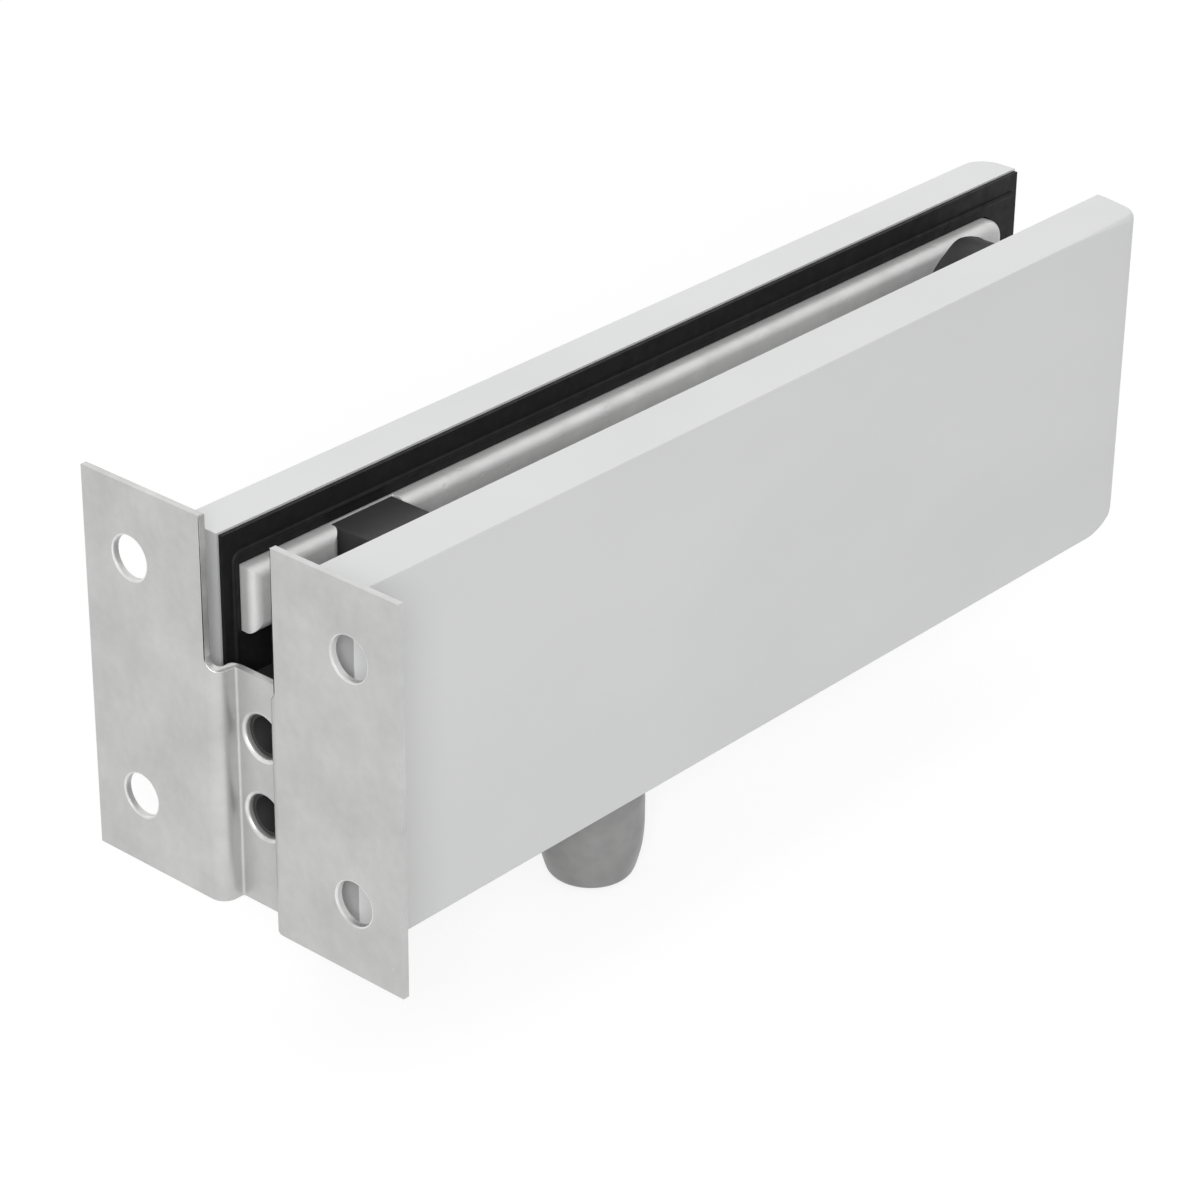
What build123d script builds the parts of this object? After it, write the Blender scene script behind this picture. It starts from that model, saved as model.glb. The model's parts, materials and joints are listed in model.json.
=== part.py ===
from build123d import *
import os

# Glass patch fitting: an over-panel clamp with a wall bracket and a pivot pin.
# Millimetres. x = 0 is the face that lies on the wall, and x grows along the
# fitting. y = 0 is the middle of the glass slot. z = 0 is the height of the
# middle of the bracket's four wall holes, and z grows upwards.

# Covers
COVER_LENGTH = 164.0
COVER_HEIGHT = 51.0
COVER_WALL = 1.2
COVER_BELOW = 28.4  # from the wall holes' middle down to the covers' underside
FRONT_COVER_DEPTH = 8.3
REAR_COVER_DEPTH = 6.65
END_RADIUS = 3.8  # free end, seen from above
FOOT_RADIUS = 8.5  # lower corner of the free end, seen from the front
COVER_EDGE = 0.4

# Glass slot and gaskets
GLASS_SLOT = 14.4
GASKET = 1.6
LIP = 0.65  # part of the rear gasket that lies over the rim of its cover
LIP_MARGIN = 0.3
BEAD_RADIUS = 0.4
BEAD_FROM_TOP = 3.4
BEAD_FROM_WALL_END = 2.0
BEAD_BEND = 1.2

# Cast bodies and the land that each one raises into the slot
BODY_FIT = 0.3
BODY_GAP = 0.2  # behind the body, to the floor of the cover
LAND_RISE = 2.3  # above the gasket
LAND_FROM_WALL_END = 3.2
LAND_FROM_FREE_END = 6.0
LAND_FROM_TOP = 5.3
LAND_FROM_FOOT = 5.0
LAND_CORNER = 3.0
LAND_EDGE = 1.5
RIB_HEIGHT = 9.2  # land over the core
LAND_CORE_GAP = 2.0
LAND_FIT = 0.2
POCKETS = 2  # side by side, between the last core screw and the middle clamp screw
POCKET_FROM_SCREW = 9.0
POCKET_FROM_EDGE = 8.5  # from the covers' top and underside
POCKET_RIB = 4.0
POCKET_CORNER = 3.0
POCKET_DEPTH = 1.8

# Core
CORE_LENGTH = 76.0
CORE_HEIGHT = 27.3
CORE_ABOVE = 2.7  # its underside above the underside of the covers
CORE_EDGE = 0.5

# Pivot pin
PIN_FROM_WALL = 65.0
PIN_DIAMETER = 15.0
PIN_BAND = 3.0  # straight stretch at the full diameter
PIN_BAND_BELOW = 10.2  # from the covers' underside down to that stretch
PIN_REACH = 21.3  # below the covers' underside
PIN_NECK = 11.0
PIN_TIP = 11.8  # diameter that the crown comes down to, before the rounding
PIN_TIP_ROUND = 1.5
PIN_COLLAR = 13.0
PIN_COLLAR_HEIGHT = 1.7
SHANK_DIAMETER = 10.0
SHANK_LENGTH = 20.0
SHANK_FIT = 0.05
SHANK_EDGE = 0.8
BORE_RELIEF = 0.5
FLAT_DEPTH = 0.5
FLAT_HEIGHT = 8.0

# Wall bracket: one folded sheet
SHEET = 1.0
BRACKET_DEPTH = 4.4  # wall face to the back of the web
BRACKET_WIDTH = 54.5
BRACKET_ABOVE = 27.2
BRACKET_BELOW = 27.2
CHANNEL_WIDTH = 8.4
WING_BEND = 2.2
WEB_BEND = 0.4
NOTCH_WIDTH = 12.2
NOTCH_FLOOR = 5.85
NOTCH_CORNER = 2.0
WALL_HOLE = 6.0
WALL_HOLES_ACROSS = 38.0
WALL_HOLES_UP = 34.0
WEB_HOLE = 6.0
WEB_HOLE_RIM = 7.3
WEB_HOLE_HEIGHT = -2.6  # upper one of the two
WEB_HOLE_PITCH = 11.4
TAPPED_HOLE = 5.0
TAPPED_DEPTH = 9.0

# Spacer block and bush, which take the clamp screws across the slot
BLOCK_FROM_WALL_END = 18.7
BLOCK_LENGTH = 11.0
BLOCK_BELOW_LAND = 0.1  # its top below the top of the land
BUSH_DIAMETER = 19.0
BUSH_FIT = 0.1
BUSH_SEAT = 3.0  # depth of the round recess below the face of the land
BUSH_EDGE = 0.5

# Clamp screws
CLAMP_MIDDLE_UP = 15.0  # above the covers' underside
CLAMP_RIGHT_FROM_FREE_END = 16.5
CLAMP_RIGHT_FROM_TOP = 15.2
CLAMP_DIAMETER = 6.0
CLAMP_HEAD = 12.0
CLAMP_KEY = 4.0
CLAMP_KEY_DEPTH = 2.2
CLAMP_SHORT = 0.6  # thread stops this far inside the rear body's outer face
HEAD_ANGLE = 90
HEAD_LAND = 0.3  # straight rim of a countersunk head
SCREW_POINT = 0.6
CLEARANCE = 0.3  # round a screw in a plain hole
THREAD_FIT = 0.05

# Core screws
CORE_SCREWS_AT = (17.0, 42.0)
CORE_SCREWS_UP = 15.0
CORE_SCREW_DIAMETER = 5.0
CORE_SCREW_HEAD = 10.0
CORE_SCREW_KEY = 3.0
CORE_SCREW_KEY_DEPTH = 1.8
CORE_SCREW_BITE = 9.0  # thread inside the core

# Pin lock screw
LOCK_DIAMETER = 6.0
LOCK_LENGTH = 8.0
LOCK_UP = 15.0  # above the covers' underside
LOCK_KEY = 3.0
LOCK_KEY_DEPTH = 3.5
LOCK_POINT = 1.0

# Cover clips: bowed strips between the bodies' long edges and the covers
CLIP_LENGTH = 26.0
CLIP_WIDTH = 3.0
CLIP_SHEET = 0.4
CLIP_RECESS = 1.4
CLIP_RECESS_LENGTH = 30.0
CLIP_FIT = 0.05

# Levels and places that follow from the sizes above
WALL_END = BRACKET_DEPTH
FREE_END = WALL_END + COVER_LENGTH
UNDERSIDE = -COVER_BELOW
TOP = UNDERSIDE + COVER_HEIGHT
FACE = GLASS_SLOT / 2  # gasket faces, at plus and minus y
SEAT = FACE + GASKET  # inner planes of the bodies
LAND_FACE = FACE - LAND_RISE
REAR_RIM = FACE + LIP
REAR_OUTER = REAR_RIM + REAR_COVER_DEPTH
FRONT_OUTER = FACE + FRONT_COVER_DEPTH
REAR_BACK = REAR_OUTER - COVER_WALL - BODY_GAP
FRONT_BACK = FRONT_OUTER - COVER_WALL - BODY_GAP
BODY_INSET = COVER_WALL + BODY_FIT
LAND_TOP = TOP - LAND_FROM_TOP
RIB_FOOT = LAND_TOP - RIB_HEIGHT
CORE_FOOT = UNDERSIDE + CORE_ABOVE
CORE_TOP = CORE_FOOT + CORE_HEIGHT
CORE_END = WALL_END + CORE_LENGTH
BUSH_FLOOR = LAND_FACE + BUSH_SEAT
CLIP_MIDDLE = (WALL_END + FREE_END) / 2
BLOCK_START = WALL_END + BLOCK_FROM_WALL_END
CLAMP_LEFT = (BLOCK_START + BLOCK_LENGTH / 2, (RIB_FOOT + LAND_TOP) / 2)
CLAMP_RIGHT = (FREE_END - CLAMP_RIGHT_FROM_FREE_END, TOP - CLAMP_RIGHT_FROM_TOP)
CLAMP_MIDDLE = ((CORE_END + CLAMP_RIGHT[0]) / 2, UNDERSIDE + CLAMP_MIDDLE_UP)
CLAMPS = {"left": CLAMP_LEFT, "middle": CLAMP_MIDDLE, "right": CLAMP_RIGHT}
CORE_SCREWS = {
    name: (WALL_END + at, UNDERSIDE + CORE_SCREWS_UP)
    for name, at in zip(("left", "right"), CORE_SCREWS_AT)
}
POCKETS_START = CORE_SCREWS["right"][0] + POCKET_FROM_SCREW
POCKETS_END = CLAMP_MIDDLE[0] - POCKET_FROM_SCREW
POCKET_PITCH = (POCKETS_END - POCKETS_START + POCKET_RIB) / POCKETS
POCKET_HEIGHT = COVER_HEIGHT - 2 * POCKET_FROM_EDGE
LOCK_HEIGHT = UNDERSIDE + LOCK_UP
FLAT_AT = PIN_FROM_WALL + SHANK_DIAMETER / 2 - FLAT_DEPTH

os.makedirs("parts", exist_ok=True)


def front_view(y):
    """Plane at the level y, seen from the front: local x is x, local y is z."""
    return Plane.XZ.offset(-y)


def back_view(y):
    """Plane at the level y, seen from behind: local x is -x, local y is z."""
    return Plane(origin=(0, y, 0), x_dir=(-1, 0, 0), z_dir=(0, 1, 0))


def cover_outline(inset):
    """The covers' outline, seen from the front and drawn in all round by inset."""
    left, right = WALL_END + inset, FREE_END - inset
    low, high = UNDERSIDE + inset, TOP - inset
    foot = max(FOOT_RADIUS - inset, 0)
    with BuildSketch() as outline:
        with BuildLine():
            FilletPolyline(
                (left, low), (right, low), (right, high), (left, high),
                radius=[0, foot, 0, 0], close=True,
            )
        make_face()
    return outline.sketch


def plan_outline(inset, near, far):
    """The outline seen from above, round at the free end where it turns to the far level."""
    left, right = WALL_END + inset, FREE_END - inset
    turn = max(END_RADIUS - inset, 0)
    with BuildSketch() as outline:
        with BuildLine():
            FilletPolyline(
                (left, near), (right, near), (right, far), (left, far),
                radius=[0, 0, turn, 0], close=True,
            )
        make_face()
    return outline.sketch


def land_outline(grow=0.0):
    """The outline of the land: a rib over the core that widens to full height beyond it."""
    left, right = WALL_END + LAND_FROM_WALL_END, FREE_END - LAND_FROM_FREE_END
    step, foot = CORE_END + LAND_CORE_GAP, UNDERSIDE + LAND_FROM_FOOT
    with BuildSketch() as outline:
        with BuildLine():
            FilletPolyline(
                (left, RIB_FOOT), (step, RIB_FOOT), (step, foot),
                (right, foot), (right, LAND_TOP), (left, LAND_TOP),
                radius=[0, LAND_CORNER, LAND_CORNER, LAND_CORNER, LAND_CORNER, 0],
                close=True,
            )
        make_face()
        if grow:
            offset(amount=grow, kind=Kind.INTERSECTION)
    return outline.sketch


def sharp_outer_edges(cap, rim):
    """Edges of a cap that are neither on its rim nor seams of its round corner."""
    seams = cap.faces().filter_by(GeomType.CYLINDER).edges().filter_by(GeomType.LINE)
    on_rim = cap.edges().filter_by_position(Axis.Y, rim, rim)
    return cap.edges() - seams - on_rim


def cap_form(inset, near, far, edge=0.0):
    """The form of a cover, drawn in by inset, from its rim at near to its face at far."""
    with BuildPart() as form:
        with BuildSketch(Plane.XY.offset(UNDERSIDE)):
            add(plan_outline(inset, near, far))
        extrude(amount=COVER_HEIGHT)
        if edge:
            fillet(sharp_outer_edges(form, near), edge)
        with BuildSketch(front_view(max(near, far))):
            add(cover_outline(inset))
        extrude(amount=abs(far - near), mode=Mode.INTERSECT)
    return form.part


def casting(side, back):
    """A cast body with its land; side is 1 for the rear one and -1 for the front one."""
    pocket_floor = back - POCKET_DEPTH
    with BuildPart() as body:
        add(cap_form(BODY_INSET, side * SEAT, side * back))
        with BuildSketch(front_view(max(side * LAND_FACE, side * SEAT))):
            add(land_outline())
        extrude(amount=SEAT - LAND_FACE)
        with BuildSketch(front_view(max(side * LAND_FACE, side * FACE))):
            with Locations(CLAMP_LEFT):
                Rectangle(BLOCK_LENGTH + 2 * LAND_FIT, RIB_HEIGHT)
        extrude(amount=LAND_RISE, mode=Mode.SUBTRACT)
        lands = body.faces().sort_by(lambda face: side * face.center().Y)[:2].sort_by(Axis.X)
        seat = lands[1].edges().sort_by(Axis.X)[:1]  # the block lies sharp against this edge
        fillet(lands.edges() - seat, LAND_EDGE)
        with BuildSketch(front_view(max(side * LAND_FACE, side * BUSH_FLOOR))):
            with Locations(CLAMP_RIGHT):
                Circle(BUSH_DIAMETER / 2 + BUSH_FIT)
        extrude(amount=BUSH_SEAT, mode=Mode.SUBTRACT)
        with BuildSketch(front_view(max(side * pocket_floor, side * back))):
            with Locations(((POCKETS_START + POCKETS_END) / 2, (UNDERSIDE + TOP) / 2)):
                with GridLocations(POCKET_PITCH, POCKET_HEIGHT, POCKETS, 1):
                    RectangleRounded(POCKET_PITCH - POCKET_RIB, POCKET_HEIGHT, POCKET_CORNER)
        extrude(amount=POCKET_DEPTH, mode=Mode.SUBTRACT)
        with BuildSketch(front_view(max(side * SEAT, side * back))):
            with Locations((CLIP_MIDDLE, UNDERSIDE + BODY_INSET), (CLIP_MIDDLE, TOP - BODY_INSET)):
                Rectangle(CLIP_RECESS_LENGTH, 2 * CLIP_RECESS)
        extrude(amount=back - SEAT, mode=Mode.SUBTRACT)
    return body.part


def gasket_bead(side):
    """The raised bead of a gasket face: along the top and down the wall end."""
    up, down = TOP - BEAD_FROM_TOP, CORE_TOP + 2 * BEAD_RADIUS
    across, end = WALL_END + BEAD_FROM_WALL_END, FREE_END - BODY_INSET
    with BuildPart() as bead:
        with BuildLine(front_view(side * FACE)) as path:
            FilletPolyline((end, up), (across, up), (across, down), radius=BEAD_BEND)
        with BuildSketch(Plane(origin=path.line @ 0, z_dir=path.line % 0)):
            Circle(BEAD_RADIUS)
        sweep()
    return bead.part


def countersunk_hole(diameter, head):
    """Cut a plain hole for a countersunk screw at each location, head flush with its plane."""
    mouth = head / 2 + HEAD_LAND + THREAD_FIT
    CounterSinkHole(diameter / 2 + CLEARANCE, mouth, counter_sink_angle=HEAD_ANGLE)


# Wall bracket
with BuildPart() as wall_bracket:
    half, channel = BRACKET_WIDTH / 2, CHANNEL_WIDTH / 2
    web = BRACKET_DEPTH - SHEET
    with BuildSketch(Plane.XY.offset(-BRACKET_BELOW)):
        with BuildLine():
            FilletPolyline(
                (0, half), (0, channel), (web, channel),
                (web, -channel), (0, -channel), (0, -half),
                radius=[WING_BEND, WEB_BEND, WEB_BEND, WING_BEND],
            )
            offset(side=Side.LEFT, amount=SHEET)
        make_face()
    extrude(amount=BRACKET_ABOVE + BRACKET_BELOW)
    notch_height = BRACKET_ABOVE - NOTCH_FLOOR
    with BuildSketch(Plane.YZ) as notch:
        with Locations((0, NOTCH_FLOOR)):
            Rectangle(NOTCH_WIDTH, notch_height, align=(Align.CENTER, Align.MIN))
        fillet(notch.vertices().group_by(Axis.Y)[0], NOTCH_CORNER)
    extrude(amount=BRACKET_DEPTH, mode=Mode.SUBTRACT)
    with BuildSketch(Plane.YZ):
        with GridLocations(WALL_HOLES_ACROSS, WALL_HOLES_UP, 2, 2):
            Circle(WALL_HOLE / 2)
    extrude(amount=SHEET, mode=Mode.SUBTRACT)
    web_face = Plane(origin=(web, 0, 0), x_dir=(0, 1, 0), z_dir=(-1, 0, 0))
    web_holes = [(0, WEB_HOLE_HEIGHT), (0, WEB_HOLE_HEIGHT - WEB_HOLE_PITCH)]
    with Locations(web_face):
        with Locations([(y, -z) for y, z in web_holes]):
            CounterSinkHole(
                WEB_HOLE / 2, WEB_HOLE_RIM / 2, depth=2 * SHEET,
                counter_sink_angle=HEAD_ANGLE,
            )

# Covers: hollow caps that open towards the slot
with BuildPart() as front_cover:
    add(cap_form(0, -FACE, -FRONT_OUTER, COVER_EDGE))
    add(cap_form(COVER_WALL, -FACE, COVER_WALL - FRONT_OUTER), mode=Mode.SUBTRACT)

with BuildPart() as rear_cover:
    add(cap_form(0, REAR_RIM, REAR_OUTER, COVER_EDGE))
    add(cap_form(COVER_WALL, REAR_RIM, REAR_OUTER - COVER_WALL), mode=Mode.SUBTRACT)

# Cast bodies: the clamp screws pass through the front one and grip the rear one
with BuildPart() as front_body:
    add(casting(-1, FRONT_BACK))
    with Locations(front_view(-FRONT_BACK)):
        with Locations(*CLAMPS.values()):
            countersunk_hole(CLAMP_DIAMETER, CLAMP_HEAD)

with BuildPart() as rear_body:
    add(casting(1, REAR_BACK))
    with BuildSketch(front_view(REAR_BACK)):
        with Locations(*CLAMPS.values()):
            Circle(CLAMP_DIAMETER / 2 + THREAD_FIT)
    extrude(amount=REAR_BACK - LAND_FACE, mode=Mode.SUBTRACT)
    with Locations(back_view(REAR_BACK)):
        with Locations([(-x, z) for x, z in CORE_SCREWS.values()]):
            countersunk_hole(CORE_SCREW_DIAMETER, CORE_SCREW_HEAD)

# Gaskets: a pad inside the rim of each cover, and at the rear a lip over the rim as well
with BuildPart() as front_gasket:
    with BuildSketch(front_view(-FACE)):
        add(cover_outline(BODY_INSET))
    extrude(amount=GASKET)
    add(gasket_bead(-1))
    with BuildSketch(front_view(-FACE)):
        add(land_outline(LAND_FIT))
    extrude(amount=GASKET, mode=Mode.SUBTRACT)

with BuildPart() as rear_gasket:
    with BuildSketch(front_view(REAR_RIM)):
        add(cover_outline(LIP_MARGIN))
    extrude(amount=LIP)
    with BuildSketch(front_view(SEAT)):
        add(cover_outline(BODY_INSET))
    extrude(amount=GASKET - LIP)
    add(gasket_bead(1))
    with BuildSketch(front_view(SEAT)):
        add(land_outline(LAND_FIT))
        with Locations(*CORE_SCREWS.values()):
            Circle(CORE_SCREW_DIAMETER / 2 + CLEARANCE)
    extrude(amount=GASKET, mode=Mode.SUBTRACT)

# Core: fills the glass cut-out at the wall end and carries the pin
with BuildPart() as core_block:
    with BuildSketch(Plane.XY.offset(CORE_FOOT)):
        with Locations((WALL_END, 0)):
            Rectangle(CORE_LENGTH, GLASS_SLOT, align=(Align.MIN, Align.CENTER))
    extrude(amount=CORE_HEIGHT)
    free_face = faces().sort_by(Axis.X)[-1]
    chamfer(free_face.edges(), CORE_EDGE)
    with BuildSketch(Plane.XY.offset(CORE_FOOT)):
        with Locations((PIN_FROM_WALL, 0)):
            Circle(SHANK_DIAMETER / 2 + SHANK_FIT)
    extrude(amount=SHANK_LENGTH + BORE_RELIEF, mode=Mode.SUBTRACT)
    with BuildSketch(Plane.YZ.offset(WALL_END)):
        with Locations(*web_holes):
            Circle(TAPPED_HOLE / 2)
    extrude(amount=TAPPED_DEPTH, mode=Mode.SUBTRACT)
    with BuildSketch(Plane.YZ.offset(CORE_END)):
        with Locations((0, LOCK_HEIGHT)):
            Circle(LOCK_DIAMETER / 2 + THREAD_FIT)
    extrude(amount=PIN_FROM_WALL - CORE_END, mode=Mode.SUBTRACT)
    with BuildSketch(front_view(FACE)):
        with Locations(*CORE_SCREWS.values()):
            Circle(CORE_SCREW_DIAMETER / 2 + THREAD_FIT)
    extrude(amount=CORE_SCREW_BITE + BORE_RELIEF, mode=Mode.SUBTRACT)

# Pivot pin: shank in the core, collar against its underside, crowned barrel below the covers
with BuildPart() as pivot_pin:
    pin_plane = Plane(origin=(PIN_FROM_WALL, 0, UNDERSIDE), x_dir=(1, 0, 0), z_dir=(0, -1, 0))
    barrel, neck, tip = PIN_DIAMETER / 2, PIN_NECK / 2, PIN_TIP / 2
    collar, shank = PIN_COLLAR / 2, SHANK_DIAMETER / 2
    band_low = -PIN_BAND_BELOW - PIN_BAND
    collar_low = CORE_ABOVE - PIN_COLLAR_HEIGHT
    shank_top = CORE_ABOVE + SHANK_LENGTH
    with BuildSketch(pin_plane) as profile:
        with BuildLine():
            Line((0, -PIN_REACH), (tip, -PIN_REACH))
            TangentArc((barrel, band_low), (tip, -PIN_REACH), tangent=(0, -1))
            Line((barrel, band_low), (barrel, -PIN_BAND_BELOW))
            TangentArc((barrel, -PIN_BAND_BELOW), (neck, collar_low), tangent=(0, 1))
            Polyline(
                (neck, collar_low), (collar, collar_low), (collar, CORE_ABOVE),
                (shank, CORE_ABOVE), (shank, shank_top - SHANK_EDGE),
                (shank - SHANK_EDGE, shank_top), (0, shank_top), (0, -PIN_REACH),
            )
        make_face()
        fillet(profile.vertices().sort_by_distance((tip, -PIN_REACH))[0], PIN_TIP_ROUND)
    revolve(axis=Axis((PIN_FROM_WALL, 0, 0), (0, 0, 1)))
    with Locations((FLAT_AT, 0, LOCK_HEIGHT)):
        Box(
            SHANK_DIAMETER, SHANK_DIAMETER, FLAT_HEIGHT,
            align=(Align.MIN, Align.CENTER, Align.CENTER), mode=Mode.SUBTRACT,
        )

with BuildPart() as pin_lock_screw:
    lock_plane = Plane(origin=(FLAT_AT + LOCK_LENGTH, 0, LOCK_HEIGHT), z_dir=(1, 0, 0))
    with BuildSketch(lock_plane):
        Circle(LOCK_DIAMETER / 2)
    extrude(amount=-LOCK_LENGTH)
    chamfer(edges().filter_by(GeomType.CIRCLE).sort_by(Axis.X)[0], LOCK_POINT)
    with BuildSketch(lock_plane):
        RegularPolygon(LOCK_KEY / 2, 6, major_radius=False)
    extrude(amount=-LOCK_KEY_DEPTH, mode=Mode.SUBTRACT)

# Spacer block and bush, which carry the outer clamp screws across the slot
with BuildPart() as spacer_block:
    with BuildSketch(front_view(FACE)):
        with Locations((BLOCK_START, CORE_TOP)):
            Rectangle(
                BLOCK_LENGTH, LAND_TOP - BLOCK_BELOW_LAND - CORE_TOP,
                align=(Align.MIN, Align.MIN),
            )
        with Locations(CLAMP_LEFT):
            Circle(CLAMP_DIAMETER / 2 + CLEARANCE, mode=Mode.SUBTRACT)
    extrude(amount=GLASS_SLOT)

with BuildPart() as clamp_bush:
    with BuildSketch(front_view(BUSH_FLOOR)):
        with Locations(CLAMP_RIGHT):
            Circle(BUSH_DIAMETER / 2)
            Circle(CLAMP_DIAMETER / 2 + CLEARANCE, mode=Mode.SUBTRACT)
    extrude(amount=2 * BUSH_FLOOR)
    chamfer(edges().filter_by(GeomType.CIRCLE).group_by(SortBy.RADIUS)[-1], BUSH_EDGE)

pieces = {
    "wall_bracket": wall_bracket,
    "front_cover": front_cover,
    "rear_cover": rear_cover,
    "front_body": front_body,
    "rear_body": rear_body,
    "front_gasket": front_gasket,
    "rear_gasket": rear_gasket,
    "core_block": core_block,
    "pivot_pin": pivot_pin,
    "pin_lock_screw": pin_lock_screw,
    "spacer_block": spacer_block,
    "clamp_bush": clamp_bush,
}

# Countersunk screws: the clamp screws run from the front body through the slot into the rear
# one, and the core screws from the back of the rear body into the core
screws = {}
for name, (x, z) in CLAMPS.items():
    screws["clamp_screw_" + name] = (
        Plane(origin=(x, -FRONT_BACK, z), x_dir=(1, 0, 0), z_dir=(0, -1, 0)),
        CLAMP_DIAMETER, CLAMP_HEAD, FRONT_BACK + REAR_BACK - CLAMP_SHORT,
        CLAMP_KEY, CLAMP_KEY_DEPTH,
    )
for name, (x, z) in CORE_SCREWS.items():
    screws["core_screw_" + name] = (
        Plane(origin=(x, REAR_BACK, z), x_dir=(1, 0, 0), z_dir=(0, 1, 0)),
        CORE_SCREW_DIAMETER, CORE_SCREW_HEAD, REAR_BACK - FACE + CORE_SCREW_BITE,
        CORE_SCREW_KEY, CORE_SCREW_KEY_DEPTH,
    )

for name, (place, diameter, head, length, key, key_depth) in screws.items():
    with BuildPart() as screw:
        with BuildSketch(place):
            Circle(head / 2)
        extrude(amount=-HEAD_LAND)
        with BuildSketch(place.offset(-HEAD_LAND)):
            Circle(head / 2)
        extrude(amount=-(head - diameter) / 2, taper=HEAD_ANGLE / 2)
        with BuildSketch(place):
            Circle(diameter / 2)
        extrude(amount=-length)
        point = screw.edges().sort_by(Axis(place.origin, place.z_dir))[0]
        chamfer(point, SCREW_POINT)
        with BuildSketch(place):
            RegularPolygon(key / 2, 6, major_radius=False)
        extrude(amount=-key_depth, mode=Mode.SUBTRACT)
    pieces[name] = screw

# Cover clips: bowed strips that stand in a recess of a body's long edge and bear on the cover
for body, middle in (("front", -(SEAT + FRONT_BACK) / 2), ("rear", (SEAT + REAR_BACK) / 2)):
    for edge, up in (("top", 1), ("bottom", -1)):
        wall = (TOP if up > 0 else UNDERSIDE) - up * COVER_WALL
        floor = wall - up * (BODY_FIT + CLIP_RECESS)
        crown = wall - up * (CLIP_FIT + CLIP_SHEET)
        with BuildPart() as clip:
            with BuildSketch(front_view(middle + CLIP_WIDTH / 2)):
                with BuildLine():
                    ThreePointArc(
                        (CLIP_MIDDLE - CLIP_LENGTH / 2, floor),
                        (CLIP_MIDDLE, crown),
                        (CLIP_MIDDLE + CLIP_LENGTH / 2, floor),
                    )
                    offset(side=Side.LEFT if up > 0 else Side.RIGHT, amount=CLIP_SHEET)
                make_face()
            extrude(amount=CLIP_WIDTH)
        pieces[body + "_clip_" + edge] = clip

for name, piece in pieces.items():
    piece.part.label = name
    export_step(piece.part, "parts/" + name + ".step")
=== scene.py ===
"""Looks of the glass patch fitting: studio, finishes and finely modelled pieces.

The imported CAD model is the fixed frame. Pieces that show their make, such as the
folded bracket, the pressed covers, the turned pin and the screws, are modelled here
in its place and stand for their CAD nodes. The sizes that a class holds are in
millimetres. Points, boxes and cutters are in metres, as Blender's are.
"""

import json
import logging
import math
from dataclasses import dataclass
from enum import Enum
from typing import Callable, Sequence

import bmesh
import bpy
from mathutils import Matrix, Vector

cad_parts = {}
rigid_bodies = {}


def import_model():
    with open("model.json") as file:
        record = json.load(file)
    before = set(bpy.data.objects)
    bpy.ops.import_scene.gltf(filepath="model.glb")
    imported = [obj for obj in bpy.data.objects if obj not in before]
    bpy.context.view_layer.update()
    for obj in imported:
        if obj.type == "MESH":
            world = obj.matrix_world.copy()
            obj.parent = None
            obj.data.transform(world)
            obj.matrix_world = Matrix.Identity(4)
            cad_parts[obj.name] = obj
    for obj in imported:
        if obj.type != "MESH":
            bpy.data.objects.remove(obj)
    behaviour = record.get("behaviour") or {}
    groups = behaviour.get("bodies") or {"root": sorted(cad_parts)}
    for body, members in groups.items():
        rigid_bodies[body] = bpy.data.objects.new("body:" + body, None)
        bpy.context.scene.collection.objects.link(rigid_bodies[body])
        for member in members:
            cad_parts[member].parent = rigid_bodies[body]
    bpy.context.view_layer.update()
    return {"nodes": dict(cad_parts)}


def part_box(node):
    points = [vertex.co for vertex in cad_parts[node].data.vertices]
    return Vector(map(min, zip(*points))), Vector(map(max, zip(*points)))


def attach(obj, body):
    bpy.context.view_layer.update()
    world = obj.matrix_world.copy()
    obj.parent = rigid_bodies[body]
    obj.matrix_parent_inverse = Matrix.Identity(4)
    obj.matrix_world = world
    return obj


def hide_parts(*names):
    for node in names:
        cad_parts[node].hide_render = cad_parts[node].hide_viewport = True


LOG = logging.getLogger("patch_fitting")
MM = 0.001
TINY = 0.02 * MM  # how near a point counts as lying on a plane
BODY = "root"
WEAR_AND_HIGHLIGHT = "wear_and_highlight"  # the face attribute that says where an edge is rubbed, and on the bracket's sheet also lightened as a painted highlight

# Angles between two faces, in radians, over which their edge is one of these
ANY = -1.0
BEVELLED = 0.6
SHOULDER = 0.7
SHEARED = 0.9
SQUARE = 1.0

# A normal's share along an axis, from where it faces along that axis or lies across it
FACING = 0.99
ACROSS = 0.1

# Spans of a pattern's values
FULL = (0, 1)
MOST = (0.3, 0.7)

Colour = tuple[float, float, float]
Span = tuple[float, float]
Ring = tuple[float, float]
Socket = bpy.types.NodeSocket
Solid = bpy.types.Object
Shade = Colour | Socket
EdgeTest = Callable[[Vector, Vector], bool]
FaceTest = Callable[[Vector, Vector], bool]


class Side(Enum):
    """The two sides of the glass slot, as the sign of y."""

    FRONT = -1
    REAR = 1


# Shader nodes


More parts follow.
